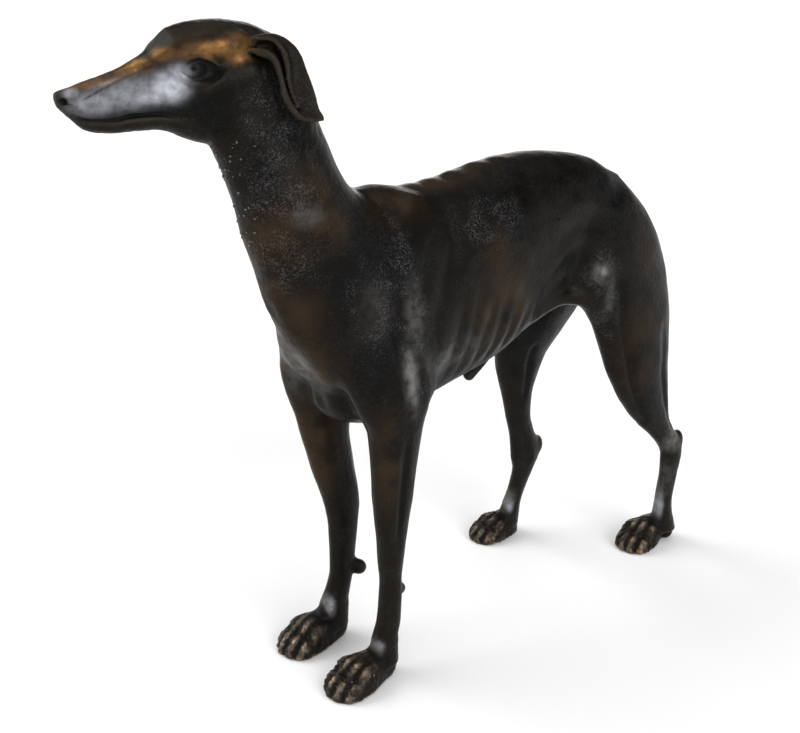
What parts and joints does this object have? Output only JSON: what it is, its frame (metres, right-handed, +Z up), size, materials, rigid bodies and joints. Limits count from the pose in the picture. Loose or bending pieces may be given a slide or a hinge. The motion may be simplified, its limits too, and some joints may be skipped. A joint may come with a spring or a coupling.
{
  "type": "greyhound figure",
  "caption": "Standing greyhound with its head turned a little to its right, a hollow bronze casting with a dark rubbed patina that stands on its own paws.",
  "frame": {"origin": "on the ground, below the middle of the figure's bounding box", "axes": "+X to the dog's left, +Y from the head to the tail, +Z up"},
  "size_m": [0.1702, 0.6756, 0.5998],
  "materials": {
    "bronze": "bronze with a near-black to brown patina, rubbed golden on the brow, silvery on the muzzle and bright on the toes, over a sand-cast grain"
  },
  "bodies": {
    "root": {"greyhound": "bronze"}
  },
  "joints": []
}
